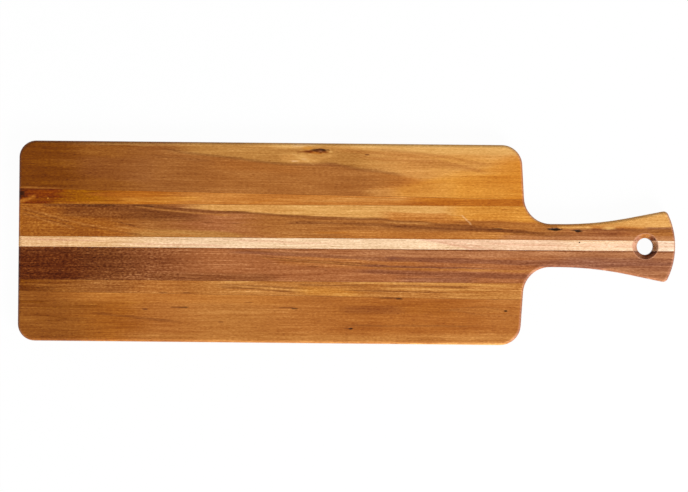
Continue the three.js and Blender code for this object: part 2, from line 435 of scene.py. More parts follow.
def make_shaded_bore():
    """Mask of painted shade on the drilled wall and its countersunk mouth, strongest on the side turned away
    from the lamp, and mask of a painted highlight on the rim around the mouth."""
    outputs = {"Mask": "value", "Rim highlight": "value"}
    tree, given, result = new_group("Shaded bore", {"Place": "vector"}, outputs)
    along, across, _ = split(tree, given["Place"])
    off_along = calc(tree, "SUBTRACT", along, HOLE_ALONG)
    off_across = calc(tree, "SUBTRACT", across, HOLE_ACROSS)
    radius = length(tree, join(tree, off_along, off_across, 0.0))
    inside = ease(tree, radius, HOLE_MOUTH_RADIUS, HOLE_MOUTH_RADIUS - HOLE_MOUTH_SOFT)
    towards = calc(tree, "MULTIPLY", off_across, math.sin(BORE_SHADE_TURN))
    towards = calc(tree, "MULTIPLY_ADD", off_along, math.cos(BORE_SHADE_TURN), towards)
    facing = ease(tree, calc(tree, "DIVIDE", towards, radius), BORE_SHADE_START, BORE_SHADE_FULL)
    side = between(tree, facing, BORE_SHADE_OTHER_SIDE, 1.0)
    inward = along_line(tree, radius, HOLE_MOUTH_RADIUS, HOLE_BORE_RADIUS, BORE_SHADE_MOUTH, 1.0)
    spots = noise(tree, given["Place"], BORE_SHADE_PATCHES, BORE_SHADE_SEED)
    patches = between(tree, spots, BORE_SHADE_LEAST, BORE_SHADE_MOST)
    bore_shade = calc(tree, "MULTIPLY", calc(tree, "MULTIPLY", side, inward), patches)
    feed(tree, result["Mask"], calc(tree, "MULTIPLY", inside, bore_shade))
    highlight_reach = ease(tree, radius, HOLE_MOUTH_RADIUS + HOLE_HIGHLIGHT_WIDTH, HOLE_MOUTH_RADIUS)
    feed(tree, result["Rim highlight"], calc(tree, "MULTIPLY", less(tree, inside), highlight_reach))
    return tree


BOARD_PLACE = make_board_place()
GRAIN_FLOW = make_grain_flow()
KNOT_BEND = make_knot_bend()
WOOD_GRAIN = make_wood_grain()
STREAK = make_streak()
MARK = make_mark()
END_GRAIN = make_end_grain()
RUBBED_EDGE_AND_SHEEN = make_rubbed_edge_and_sheen()
SHADED_BORE = make_shaded_bore()


@dataclass
class Streak:
    """A band of another tone through points that are each (along, across, half width)."""
    tone: str
    points: list
    soft: float = 1.5
    fade: float = 30
    strength: float = 0.8
    deep: float = ALL_THROUGH


@dataclass
class Mark:
    """A lens-shaped mark. Its centre is (along, across) on the serving face."""
    tone: str
    centre: tuple
    half_length: float
    half_width: float
    reach_down: float = 4
    soft: float = 0.5
    ragged: float = 0.6
    strength: float = 0.9
    hollow: float = 0.0


@dataclass
class Strip:
    """How one strip of wood looks. The ground is a list of (along, tone)."""
    node: str
    slot: str
    seed: float
    ground: list
    streaks: tuple = ()
    marks: tuple = ()
    knot: Mark = None
    lean: float = 0.3
    bow: float = 0.015
    wander: float = 2.0
    bands: float = 0.15
    lines: float = 0.35
    flecks: float = 0.35
    pores: float = 0.25
    end_depth: float = 0.3
    # How deep the painted shade in the hanging hole's bore is
    bore_shade: float = 1.4
    # The tone of the rounded edges, lightened partly by rubbing and partly as a painted sheen
    rub_and_sheen: str = "honey"
    curl: float = 0.0
    curl_end: float = 0.0


# Oiled wood: how ragged the changes of its ground are, how long curls take to fade, how strongly the rubbed
# edges with their painted sheen and the painted highlight on the hole's rim show, what a deeper tone keeps
# of its light and gains in richness, its roughness and what grain and ends add to it, the relief of its
# grain and how bright its gloss is
GROUND_RAGGED = 26
CURL_FADE = 60
RUB_AND_SHEEN_STRENGTH = 0.7
RIM_HIGHLIGHT_STRENGTH = 0.4
DEEPENED_LIGHT = 0.55
DEEPENED_RICHNESS = 0.6
WOOD_ROUGHNESS = 0.36
GRAIN_DULLNESS = 0.12
END_DULLNESS = 0.25
GRAIN_BUMP = 0.25
GRAIN_RELIEF = 0.1 * MM
WOOD_GLOSS = 0.18

# Dried glue: its roughness and what its spots add to it, their relief and how bright its gloss is
GLUE_ROUGHNESS = 0.5
SPOT_DULLNESS = 0.15
SPOT_BUMP = 0.2
SPOT_RELIEF = 0.05 * MM
GLUE_GLOSS = 0.1


# Materials
def lay_ground(tree, flow, strip):
    """The strip's main tones along its length, with ragged changes from one to the next."""
    along = split(tree, flow)[0]
    ragged = noise(tree, flow, GROUND_SHIFTS, strip.seed + GROUND_SEED_STEP)
    shifted = calc(tree, "ADD", along, swing(tree, ragged, GROUND_RAGGED))
    ramp = add(tree, "ShaderNodeValToRGB", {0: calc(tree, "DIVIDE", shifted, BOARD_LENGTH)})
    ramp.color_ramp.interpolation = "EASE"
    stops = ramp.color_ramp.elements
    while len(stops) < len(strip.ground):
        stops.new(0.5)
    for stop, (at, tone) in zip(stops, strip.ground):
        stop.position = at / BOARD_LENGTH
        stop.color = linear(tone)
    return ramp.outputs[0]


def follow(tree, value, points):
    """A number that follows a smooth curve through points, each (value, number) from 0 to 1."""
    made = add(tree, "ShaderNodeFloatCurve", {"Value": value})
    curve = made.mapping.curves[0]
    curve.points[0].location = points[0]
    curve.points[1].location = points[-1]
    for point in points[1:-1]:
        curve.points.new(*point)
    for point in curve.points:
        point.handle_type = "AUTO_CLAMPED"
    made.mapping.update()
    return made.outputs[0]


def streak_mask(tree, flow, streak):
    share = calc(tree, "DIVIDE", split(tree, flow)[0], BOARD_LENGTH)
    middles = [(along / BOARD_LENGTH, 0.5 + across / BOARD_WIDTH) for along, across, _ in streak.points]
    halves = [(along / BOARD_LENGTH, half / BOARD_WIDTH) for along, _, half in streak.points]
    return use(tree, STREAK, {
        "Flow": flow,
        "Middle": follow(tree, share, middles),
        "Half": follow(tree, share, halves),
        "Start": streak.points[0][0],
        "End": streak.points[-1][0],
        "Soft": streak.soft,
        "Fade": streak.fade,
        "Deep": streak.deep,
    })["Mask"]


def mark_mask(tree, place, mark):
    return use(tree, MARK, {
        "Place": place,
        "Centre": (*mark.centre, 0),
        "Reach": (mark.half_length, mark.half_width, mark.reach_down),
        "Soft": mark.soft,
        "Ragged": mark.ragged,
    })["Mask"]


def lay(tree, colour, mask, tone, strength):
    return blend(tree, calc(tree, "MULTIPLY", mask, strength), colour, linear(tone))


def new_material(name):
    material = bpy.data.materials.new(name)
    tree = empty_tree(material)
    surface = add(tree, "ShaderNodeBsdfPrincipled")
    output = add(tree, "ShaderNodeOutputMaterial")
    tree.links.new(surface.outputs[0], output.inputs["Surface"])
    return material, tree, surface.inputs


def strip_flow(tree, place, strip):
    flow = use(tree, GRAIN_FLOW, {
        "Place": place,
        "Lean": strip.lean,
        "Bow": strip.bow,
        "Wander": strip.wander,
        "Seed": strip.seed,
    })["Flow"]
    knot = strip.knot
    if knot:
        flow = use(tree, KNOT_BEND, {
            "Flow": flow,
            "Centre": (*knot.centre, 0),
            "Reach": (knot.half_length, knot.half_width, knot.reach_down),
            "Part": knot.strength,
        })["Flow"]
    return flow


def strip_grain(tree, flow, strip):
    curly = ease(tree, split(tree, flow)[0], strip.curl_end + CURL_FADE, strip.curl_end)
    return use(tree, WOOD_GRAIN, {
        "Flow": flow,
        "Seed": strip.seed,
        "Bands": strip.bands,
        "Lines": strip.lines,
        "Flecks": strip.flecks,
        "Pores": strip.pores,
        "Curl": calc(tree, "MULTIPLY", curly, strip.curl),
    })


def deepen(tree, colour, depth):
    """The colour made darker and richer, or lighter and paler where the depth is below 0."""
    richness = calc(tree, "MULTIPLY_ADD", depth, DEEPENED_RICHNESS, 1.0)
    richer = add(tree, "ShaderNodeGamma", {0: colour, 1: richness})
    shade = calc(tree, "POWER", DEEPENED_LIGHT, depth)
    scaled = add(tree, "ShaderNodeVectorMath", {0: richer.outputs[0], "Scale": shade}, operation="SCALE")
    return scaled.outputs[0]


def relief(tree, height, strength, distance):
    inputs = {"Strength": strength, "Distance": distance, "Height": height}
    return add(tree, "ShaderNodeBump", inputs).outputs[0]


def strip_wood(strip):
    """The oiled wood of one strip."""
    material, tree, surface = new_material(strip.slot)
    place = use(tree, BOARD_PLACE, {})["Place"]
    flow = strip_flow(tree, place, strip)
    colour = lay_ground(tree, flow, strip)
    for streak in strip.streaks:
        colour = lay(tree, colour, streak_mask(tree, flow, streak), streak.tone, streak.strength)
    grain = strip_grain(tree, flow, strip)
    # Painted shade in the hanging hole's bore and on its countersunk mouth
    bore = use(tree, SHADED_BORE, {"Place": place})
    bore_shaded = bore["Mask"]
    edge = use(tree, RUBBED_EDGE_AND_SHEEN, {"Place": place})
    # Rounded edges lightened partly as rubbed wear and partly as a painted sheen of the light on them
    rubbed_and_sheen = calc(tree, "MULTIPLY", edge["Mask"], less(tree, bore_shaded))
    bare_and_sheen = blend(tree, edge["Crossing"], linear(strip.rub_and_sheen), linear("blush"))
    colour = blend(tree, calc(tree, "MULTIPLY", rubbed_and_sheen, RUB_AND_SHEEN_STRENGTH), colour, bare_and_sheen)
    # A painted highlight on the rim around the hole's countersunk mouth
    colour = lay(tree, colour, bore["Rim highlight"], "peach", RIM_HIGHLIGHT_STRENGTH)
    ends = use(tree, END_GRAIN, {})["Mask"]
    depth = calc(tree, "MULTIPLY_ADD", ends, strip.end_depth, grain["Depth"])
    depth = calc(tree, "MULTIPLY_ADD", bore_shaded, strip.bore_shade, depth)
    colour = deepen(tree, colour, depth)
    for mark in strip.marks:
        colour = lay(tree, colour, mark_mask(tree, place, mark), mark.tone, mark.strength)
    feed(tree, surface["Base Color"], colour)
    dullness = calc(tree, "MULTIPLY_ADD", grain["Dullness"], GRAIN_DULLNESS, WOOD_ROUGHNESS)
    feed(tree, surface["Roughness"], calc(tree, "MULTIPLY_ADD", ends, END_DULLNESS, dullness))
    feed(tree, surface["Normal"], relief(tree, grain["Height"], GRAIN_BUMP, GRAIN_RELIEF))
    feed(tree, surface["Specular IOR Level"], WOOD_GLOSS)
    return material


def dried_glue():
    material, tree, surface = new_material("dried_glue")
    place = use(tree, BOARD_PLACE, {})["Place"]
    spots = noise(tree, place, GLUE_SPOTS, GLUE_SEED)
    feed(tree, surface["Base Color"], blend(tree, spots, linear("glue"), linear("walnut")))
    feed(tree, surface["Roughness"], calc(tree, "MULTIPLY_ADD", spots, SPOT_DULLNESS, GLUE_ROUGHNESS))
    feed(tree, surface["Normal"], relief(tree, spots, SPOT_BUMP, SPOT_RELIEF))
    feed(tree, surface["Specular IOR Level"], GLUE_GLOSS)
    return material


# The strips, from the near edge to the far edge
NEAR_EDGE = Strip(
    node="near_edge_strip",
    slot="near_edge_wood",
    seed=1.0,
    ground=[
        (0, "bistre"),
        (40, "bistre"),
        (85, "copper"),
        (130, "tan"),
        (190, "oak"),
        (255, "tan"),
        (320, "nutmeg"),
        (385, "nutmeg"),
        (435, "tan"),
    ],
    streaks=(
        Streak("amber", [(60, -48.5, 2), (130, -48.8, 3), (220, -50, 3)], soft=4, fade=50, strength=0.5),
        Streak("copper", [(296, -58.5, 2), (370, -57, 3)], soft=5, fade=25, strength=0.45),
        Streak("plum", [(296, -59, 1.5), (334, -59, 2)], soft=3.5, fade=15, strength=0.35),
        Streak("oak", [(120, -86, 2), (300, -85.5, 3), (445, -85, 4)], soft=5, fade=40, strength=0.75),
        # A painted highlight along the near rim towards the handle
        Streak("corn", [(350, -88.6, 0.5), (446, -88.4, 0.9)], soft=1, fade=50, strength=0.75),
        Streak("umber", [(0, -54.4, 0.5), (20, -54.2, 0.5)], soft=0.9, fade=12, strength=0.85),
        Streak("umber", [(22, -59.3, 0.3), (65, -57.4, 0.5)], soft=1.2, fade=15, strength=0.5),
        Streak("umber", [(19, -65.9, 0.3), (41, -68.6, 0.3)], soft=1, fade=10, strength=0.5),
        Streak("walnut", [(80, -64.7, 0.3), (131, -69.9, 0.4)], soft=1.2, fade=20, strength=0.4),
        Streak("umber", [(19, -71.1, 0.3), (35, -71.3, 0.3)], soft=1, fade=10, strength=0.4),
        Streak("walnut", [(302, -72.7, 0.3), (392, -72.3, 0.3)], soft=1, fade=25, strength=0.4),
        Streak("russet", [(386, -58.2, 0.2), (410, -55.5, 0.2), (432, -58, 0.2)],
               soft=1, fade=8, strength=0.5),
        Streak("russet", [(386, -58.8, 0.2), (410, -61.8, 0.2), (440, -62.5, 0.3)],
               soft=1, fade=8, strength=0.5),
        Streak("oak", [(392, -58.6, 0.6), (425, -58.4, 0.8)], soft=1.5, fade=12, strength=0.5),
    ),
    marks=(
        Mark("walnut", (113, -59.9), 3.6, 1, strength=0.85),
        Mark("walnut", (143, -58.1), 10, 0.9, strength=0.7),
        Mark("bark", (148, -58), 4.5, 0.8, strength=0.6),
        Mark("walnut", (205.5, -53.2), 5, 0.6, strength=0.6),
        Mark("walnut", (180.5, -70.8), 3.4, 0.7, strength=0.75),
        Mark("walnut", (238, -57.4), 10, 0.8, strength=0.6),
        Mark("bark", (246, -58.2), 4, 0.9, soft=0.7, strength=0.7, hollow=0.25),
        Mark("dark heart", (329, -48.2), 14, 1.1, soft=0.8, ragged=0.4, strength=0.8),
        Mark("bark", (338.5, -48.6), 5, 0.9, soft=0.7, strength=0.8, hollow=0.2),
        Mark("walnut", (293, -75.4), 4.5, 0.7, strength=0.7),
        Mark("bark", (296, -75.6), 2.4, 1, strength=0.85, hollow=0.3),
        Mark("walnut", (424.5, -48), 5, 0.7, strength=0.6),
        Mark("bark", (433.6, -58.6), 2, 0.8, ragged=0.4, strength=0.95, hollow=1),
    ),
    lines=0.42,
)
NEAR_TAPER = Strip(
    node="near_taper_strip",
    slot="near_taper_wood",
    seed=2.0,
    ground=[
        (0, "umber"),
        (32, "bistre"),
        (77, "russet"),
        (125, "tan"),
        (185, "oak"),
        (440, "oak"),
    ],
    streaks=(
        Streak("dark heart", [(0, -42.8, 1), (28, -42.4, 0.6)], soft=2, fade=12, strength=0.4),
        Streak("honey", [(188, -35.3, 0.3), (207, -35.2, 0.3)], soft=1, fade=10, strength=0.55),
        Streak("walnut", [(188, -37.9, 0.2), (250, -40.3, 0.2)], soft=1, fade=15, strength=0.5),
        Streak("honey", [(200, -39.6, 0.2), (255, -42.2, 0.2)], soft=1, fade=15, strength=0.35),
        Streak("walnut", [(188, -40.2, 0.2), (249, -43.9, 0.2)], soft=1, fade=15, strength=0.5),
        Streak("gold", [(262, -42.5, 1.5), (290, -43.5, 1.5)], soft=3.5, fade=25, strength=0.45),
        Streak("walnut", [(255, -37, 0.2), (300, -37.6, 0.2)], soft=0.8, fade=12, strength=0.5),
        Streak("honey", [(300, -34.6, 0.3), (357, -34.6, 0.4), (423, -36.2, 0.6)],
               soft=0.8, fade=20, strength=0.9),
        Streak("walnut", [(335, -37.2, 0.2), (392, -37.8, 0.2)], soft=0.9, fade=15, strength=0.7),
        Streak("honey", [(335, -39.6, 0.3), (415, -40, 0.4)], soft=0.9, fade=20, strength=0.65),
        Streak("walnut", [(300, -41.5, 0.1), (370, -42.4, 0.2)], soft=0.9, fade=20, strength=0.55),
        Streak("honey", [(390, -45, 1.5), (440, -45.5, 1.5)], soft=1.6, fade=20, strength=0.4),
    ),
    marks=(
        Mark("walnut", (129, -45.1), 4.5, 0.7, strength=0.6),
        Mark("walnut", (149.5, -45), 5.5, 0.7, strength=0.7),
        Mark("honey", (284, -45), 4, 0.8, soft=0.8, strength=0.6),
        Mark("honey", (291, -44.4), 3.4, 0.8, soft=0.8, strength=0.7),
        Mark("honey", (299, -44.9), 4, 0.7, soft=0.8, strength=0.55),
    ),
    lines=0.65,
    flecks=0.5,
    curl=0.15,
    curl_end=100,
)
NEAR_CORE = Strip(
    node="near_core_strip",
    slot="near_core_wood",
    seed=3.0,
    ground=[
        (0, "dark heart"),
        (35, "dark heart"),
        (80, "walnut"),
        (125, "plum"),
        (180, "rosewood"),
        (330, "rosewood"),
        (450, "rosewood"),
        (515, "cocoa"),
        (575, "cocoa"),
    ],
    streaks=(
        Streak("dark heart", [(0, -24.6, 3), (60, -27, 2)], soft=6, strength=0.5),
        Streak("walnut", [(125, -31, 1.5), (216, -31, 1.5)], soft=4, fade=25, strength=0.6),
        Streak("fawn", [(340, -8.5, 1.5), (460, -8.2, 2.2), (580, -7.5, 2.2)],
               soft=2.5, fade=60, strength=0.7),
        Streak("amber", [(245, -15.5, 2), (300, -16.5, 3.5), (345, -18, 2.5)],
               soft=4, fade=25, strength=0.38),
        Streak("walnut", [(0, -8, 1.5), (80, -8.5, 2)], soft=4, fade=20, strength=0.35),
        Streak("damson", [(201, -8.9, 0.5), (250, -10.2, 0.7), (290, -12, 0.7), (326, -13.6, 1.1),
                          (375, -14, 1.2), (455, -15.6, 1.6), (500, -17, 3), (522, -17, 2.4),
                          (545, -16, 1.1), (581, -15.6, 0.6)], soft=1.5, fade=20, strength=0.57),
        Streak("fawn", [(530, -22, 1), (560, -26, 3), (584, -29, 5)], soft=4, fade=12, strength=0.5),
        Streak("damson", [(492, -12, 0.6), (560, -12, 1)], soft=2.5, fade=15, strength=0.35),
        Streak("walnut", [(207, -7.4, 0.3), (245, -8.6, 0.3)], soft=0.8, fade=12, strength=0.5),
        Streak("walnut", [(222, -12.6, 0.2), (317, -18.6, 0.3)], soft=0.8, fade=15, strength=0.6),
        Streak("oak", [(226, -14, 0.2), (300, -18.8, 0.3)], soft=0.8, fade=15, strength=0.6),
        Streak("walnut", [(238, -15.4, 0.2), (330, -21, 0.3)], soft=0.8, fade=15, strength=0.55),
        Streak("damson", [(317, -19.6, 0.3), (357, -20.2, 0.4), (400, -20.8, 0.3)], soft=0.8, strength=0.7),
        Streak("oak", [(340, -22, 0.3), (400, -22.4, 0.5), (446, -22.8, 0.4)], soft=0.9, strength=0.7),
        Streak("damson", [(318, -25, 0.6), (384, -26.5, 1.2), (455, -28, 1.6)], soft=2, strength=0.5),
        Streak("damson", [(350, -31.5, 1), (395, -31.4, 1.2)], soft=2, fade=20, strength=0.5),
        Streak("dark heart", [(0, -5.7, 0.3), (580, -4.9, 0.3)], soft=0.6, strength=0.5),
        Streak("fawn", [(240, -8, 1.2), (300, -8.5, 1.8), (375, -9, 1.8)], soft=3, fade=25, strength=0.4),
    ),
    marks=(
        Mark("dark heart", (34, -22.7), 5, 2, soft=0.8, strength=0.7),
        Mark("walnut", (96.5, -16.2), 5, 1, soft=0.8, strength=0.6),
        Mark("damson", (334, -12.6), 11, 2, soft=0.8, ragged=0.9, strength=0.6),
        Mark("walnut", (262, -20.6), 6, 0.7, strength=0.6),
    ),
    lines=0.6,
    flecks=0.5,
    rub_and_sheen="cocoa",
    curl=0.35,
    curl_end=115,
)
PALE = Strip(
    node="pale_strip",
    slot="pale_wood",
    seed=4.0,
    ground=[(0, "straw"), (60, "straw"), (175, "cream"), (560, "cream")],
    streaks=(
        Streak("shell", [(357, 8, 4.2), (402, 4, 8.7), (430, 0, 13), (584, 0, 13)], soft=0.6, fade=1),
        Streak("peach", [(362, 4.6, 0.2), (384, 0.3, 0.4), (408, -4.6, 0.2)],
               soft=0.9, fade=4, strength=0.6),
        Streak("peach", [(372, 4.6, 0.1), (420, -3.2, 0.2)], soft=0.7, fade=4, strength=0.45),
        Streak("peach", [(20, 1, 0.3), (60, 0.5, 0.3)], soft=0.8, strength=0.5),
        Streak("peach", [(110, -2, 0.3), (170, -3, 0.3)], soft=0.8, strength=0.5),
        Streak("peach", [(200, 2, 0.3), (262, 0, 0.3)], soft=0.8, strength=0.4),
        Streak("peach", [(430, 1, 0.3), (505, -1, 0.3)], soft=0.8, strength=0.5),
        Streak("cream", [(500, 0, 8), (584, 0, 8)], soft=1, fade=30, strength=0.5),
        Streak("peach", [(506, 0.6, 0.5), (550, 0.2, 0.8)], soft=0.9, fade=12, strength=0.4),
        Streak("straw", [(490, 3.9, 0.3), (584, 4, 0.3)], soft=0.7, fade=20, strength=0.4),
        Streak("ivory", [(570, 0, 8), (584, 0, 8)], soft=1, fade=4, strength=0.6),
        Streak("peach", [(566, 2.9, 0.3), (584, 2.8, 0.3)], soft=0.6, fade=6, strength=0.45),
        Streak("peach", [(566, 0, 0.3), (584, 0.1, 0.4)], soft=0.6, fade=6, strength=0.45),
    ),
    marks=(
        Mark("bark", (498.6, 3.1), 0.8, 0.8, ragged=0.2, hollow=0.8),
        # A painted highlight on the lit left wall of the hole's mouth, and painted shade on its right wall
        Mark("peach", (HOLE_ALONG - 10, HOLE_ACROSS), 2.4, 6,
             reach_down=8, soft=0.7, ragged=0.3, strength=0.75),
        Mark("bistre", (HOLE_ALONG + 8, HOLE_ACROSS), 3, 6, reach_down=9, soft=0.7, strength=0.8),
    ),
    lines=0.6,
    flecks=0.6,
    pores=0.4,
    end_depth=0.4,
    bore_shade=0.5,
)
FAR_CORE = Strip(
    node="far_core_strip",
    slot="far_core_wood",
    seed=5.0,
    ground=[
        (0, "copper"),
        (65, "copper"),
        (120, "russet"),
        (175, "rosewood"),
        (230, "chestnut"),
        (345, "chestnut"),
        (410, "russet"),
        (460, "chestnut"),
        (520, "rosewood"),
        (575, "chestnut"),
    ],
    streaks=(
        Streak("walnut", [(50, 28, 4.5), (90, 27, 4.5), (150, 24.5, 2.5)], soft=5, fade=25, strength=0.7),
        Streak("marigold", [(0, 20, 10), (1.5, 20, 10)], soft=3, fade=2.5, strength=0.45),
        Streak("rust", [(77, 9, 2), (104, 8.5, 2)], soft=3, fade=15, strength=0.4),
        Streak("olive", [(112, 7.5, 1.5), (160, 7, 2), (190, 6, 1)], soft=3.5, fade=20, strength=0.75),
        Streak("amber", [(300, 7.5, 2), (375, 7, 2), (455, 7, 1.5)], soft=3.5, fade=25, strength=0.65),
        Streak("honey", [(170, 32.4, 2.6), (197, 31.6, 3.3), (240, 30.4, 4.3), (264, 29.6, 5), (317, 29, 6),
                         (353, 29.8, 5.1), (390, 30, 5)], soft=1.6, fade=35, strength=0.95),
        Streak("corn", [(250, 29.5, 2.5), (317, 29.5, 3), (370, 30, 2)], soft=3, fade=25, strength=0.5),
        Streak("amber", [(335, 24, 3.4), (376, 22.5, 4.1), (403, 21.5, 4.7), (426, 20.5, 6.6),
                         (455, 19.5, 8.6)], soft=1.2, fade=20, strength=0.85),
        Streak("gold", [(398, 29.5, 6), (428, 29, 6), (468, 28, 6)], soft=2.5, fade=25, strength=0.85),
        Streak("amber", [(480, 23, 6.5), (584, 22.8, 6.8)], soft=1.2, fade=25, strength=0.9),
        Streak("honey", [(490, 25, 4.5), (584, 26, 8)], soft=3, fade=25, strength=0.9),
        Streak("corn", [(515, 26, 6), (584, 26, 7)], soft=4, fade=25, strength=0.4),
        Streak("fawn", [(440, 6.5, 1.2), (584, 6.5, 1.8)], soft=2, fade=20, strength=0.6),
        Streak("walnut", [(26, 31.6, 0.5), (62, 31.8, 0.6), (81, 31.8, 0.6), (117, 31.6, 0.4),
                          (153, 29.2, 0.4), (176, 27.1, 0.6), (200, 27, 0.4)],
               soft=1.3, fade=8, strength=0.75),
        Streak("bark", [(60, 31.9, 0.2), (82, 31.8, 0.3)], soft=0.8, fade=8, strength=0.4),
        Streak("bark", [(106, 31.9, 0.2), (116, 31.6, 0.3)], soft=0.8, fade=6, strength=0.35),
        Streak("oak", [(111, 30.3, 0.2), (135, 27.9, 0.3), (167, 25.6, 0.3), (183, 24.6, 0.2)],
               soft=0.8, fade=10, strength=0.65),
        Streak("walnut", [(70, 30.6, 0.4), (92, 29, 0.4), (120, 26.6, 0.4), (134, 24.1, 0.3)],
               soft=1, fade=12, strength=0.6),
        Streak("walnut", [(197, 27, 0.4), (216, 26.3, 0.4), (240, 24.2, 0.6), (264, 22.8, 0.8),
                          (288, 22.2, 0.6), (317, 22, 0.4), (335, 20.1, 0.5), (353, 19.8, 0.4),
                          (376, 17.9, 0.5), (403, 16.2, 0.6), (426, 13.4, 0.6), (455, 10.8, 0.5)],
               soft=1.4, fade=20, strength=0.6),
        Streak("walnut", [(252, 18.8, 0.2), (275, 18, 0.3), (296, 17.4, 0.5), (322, 16.4, 0.8),
                          (356, 15, 1.1), (390, 13.8, 1.3), (430, 12.8, 0.9), (460, 11.4, 0.8)],
               soft=1.4, fade=15, strength=0.55),
        Streak("dark heart", [(340, 15.8, 0.2), (376, 14.4, 0.2), (440, 13, 0.3)],
               soft=0.8, fade=25, strength=0.4),
        Streak("amber", [(395, 11.6, 0.2), (425, 11, 0.3)], soft=0.9, fade=15, strength=0.5),
        Streak("walnut", [(445, 10.4, 0.8), (482, 9.4, 0.8)], soft=2, fade=15, strength=0.5),
        Streak("walnut", [(398, 18.8, 1.2), (440, 17.4, 1.8), (478, 15.2, 1.2)],
               soft=2.5, fade=20, strength=0.32),
        Streak("honey", [(332, 18.7, 0.2), (360, 18.3, 0.2)], soft=0.9, fade=10, strength=0.3),
        Streak("walnut", [(243, 17.9, 0.3), (264, 18, 0.3)], soft=1, fade=8, strength=0.5),
        Streak("rust", [(268, 9.2, 0.3), (288, 9.3, 0.3)], soft=1, fade=10, strength=0.5),
        Streak("walnut", [(4.8, 27.4, 0.2), (27.2, 21.2, 0.3), (44, 16.5, 0.2)],
               soft=0.8, fade=4, strength=0.5),
        Streak("oak", [(6, 28.8, 0.2), (28, 22.6, 0.3), (46, 17.7, 0.3), (83, 11.5, 0.3), (126, 4.8, 0.2)],
               soft=0.9, fade=4, strength=0.45),
        Streak("walnut", [(58, 13.6, 0.2), (84, 9.4, 0.3), (112, 5, 0.2)], soft=0.9, fade=8, strength=0.45),
        Streak("walnut", [(4.8, 24.3, 0.2), (32.5, 16.6, 0.3), (48, 12.5, 0.2)],
               soft=0.8, fade=4, strength=0.45),
        Streak("oak", [(5, 22.9, 0.2), (32, 15.1, 0.3), (48, 11, 0.2)], soft=0.8, fade=4, strength=0.4),
        Streak("oak", [(90, 13.3, 0.3), (109, 10.1, 0.4), (132, 8, 0.4), (153, 5.9, 0.3)],
               soft=0.9, fade=8, strength=0.75),
        Streak("walnut", [(86, 18, 0.2), (95, 16.1, 0.3), (105, 13.4, 0.3)], soft=0.9, fade=6, strength=0.5),
        Streak("honey", [(300, 32, 0.2), (316, 26, 0.2)], soft=0.7, fade=5, strength=0.5),
        Streak("corn", [(384, 26.6, 0.2), (394, 25.6, 0.2)], soft=0.8, fade=4, strength=0.35, deep=5),
        Streak("straw", [(394.6, 25.2, 0.2), (401.6, 18.8, 0.3)], soft=1, fade=1.5, strength=0.5, deep=5),
        Streak("honey", [(484, 16.6, 0.9), (506, 16.2, 0.9)], soft=1.2, fade=6, strength=0.8),
        Streak("walnut", [(500, 14.2, 0.9), (584, 14.8, 0.8)], soft=1.8, fade=12, strength=0.42),
        Streak("walnut", [(490, 10.2, 0.6), (530, 10.2, 0.8)], soft=2, fade=12, strength=0.35),
        Streak("damson", [(562, 16.3, 0.4), (582, 16.3, 0.4)], soft=1, fade=10, strength=0.6),
    ),
    marks=(
        Mark("walnut", (142.7, 22.6), 3.2, 0.8, strength=0.7),
        Mark("walnut", (168, 17.6), 8, 0.7, strength=0.5),
        Mark("walnut", (193, 16.9), 5, 0.7, strength=0.5),
        Mark("bark", (426, 14.4), 7, 0.8, strength=0.6),
        Mark("bark", (473.5, 14.6), 6.5, 1.3, soft=0.8, ragged=0.8, strength=0.9),
        Mark("bark", (477, 14.5), 7, 1.6, ragged=0.8, strength=0.95, hollow=0.9),
        Mark("bark", (494.5, 13.6), 5, 0.8, soft=0.8, ragged=0.8, strength=0.9),
        Mark("bark", (497.6, 13.3), 4.2, 1.3, ragged=0.8, strength=0.95, hollow=0.7),
        Mark("corn", (525, 16.2), 9, 2.4, soft=0.9, strength=0.85),
        # Painted shade on the far right wall of the hole's mouth
        Mark("dark heart", (HOLE_ALONG + 5.6, HOLE_ACROSS + 7.2), 3.6, 2.6,
             reach_down=9, soft=0.7, strength=0.85),
        Mark("bark", (HOLE_ALONG + 8, HOLE_ACROSS + 6.2), 2, 1.1, reach_down=6, soft=0.7, strength=0.7),
    ),
    lines=0.5,
    flecks=0.45,
    curl=0.25,
    curl_end=70,
)
FAR_TAPER = Strip(
    node="far_taper_strip",
    slot="far_taper_wood",
    seed=6.0,
    ground=[
        (0, "mahogany"),
        (24, "mahogany"),
        (38, "ochre"),
        (62, "ochre"),
        (115, "rust"),
        (155, "amber"),
        (325, "amber"),
        (370, "rust"),
        (440, "rust"),
    ],
    streaks=(
        Streak("rust", [(1.5, 34.6, 1), (13.3, 39, 0.6)], soft=2, fade=3, strength=0.7, deep=8),
        Streak("gold", [(1.5, 34.3, 0.2), (12, 38.6, 0.2)], soft=1.2, fade=2, strength=0.2, deep=8),
        Streak("ochre", [(14, 37, 0.6), (36, 36.4, 0.8)], soft=2, fade=8, strength=0.4),
        Streak("rust", [(40, 33.8, 0.2), (80, 34.1, 0.4), (118, 34.8, 0.6)],
               soft=0.9, fade=12, strength=0.55),
        Streak("dark heart", [(2, 45.6, 0.3), (24, 45.4, 0.3)], soft=0.9, fade=4, strength=0.6),
        Streak("rust", [(70, 41.5, 0.6), (110, 41.5, 1)], soft=1.5, fade=15, strength=0.6),
        Streak("gold", [(100, 37.5, 0.8), (130, 37.5, 1.5), (153, 39, 1)], soft=2, fade=15, strength=0.5),
        Streak("rust", [(206, 34.7, 0.3), (228, 38.5, 0.3)], soft=0.8, fade=5, strength=0.5),
        Streak("honey", [(290, 40.2, 0.3), (335, 40, 0.3)], soft=0.8, fade=15, strength=0.5),
        Streak("honey", [(262, 37.8, 0.2), (310, 38, 0.2)], soft=0.8, fade=15, strength=0.4),
    ),
    marks=(
        Mark("bark", (2.5, 41.8), 5.2, 5.4, soft=0.8, ragged=0.9, strength=0.85, reach_down=8),
        Mark("gold", (25.8, 37.7), 1.1, 0.9, soft=0.8, ragged=0.3, strength=0.85, reach_down=2),
    ),
    bands=0.2,
    lines=0.58,
    curl=0.2,
    curl_end=40,
)
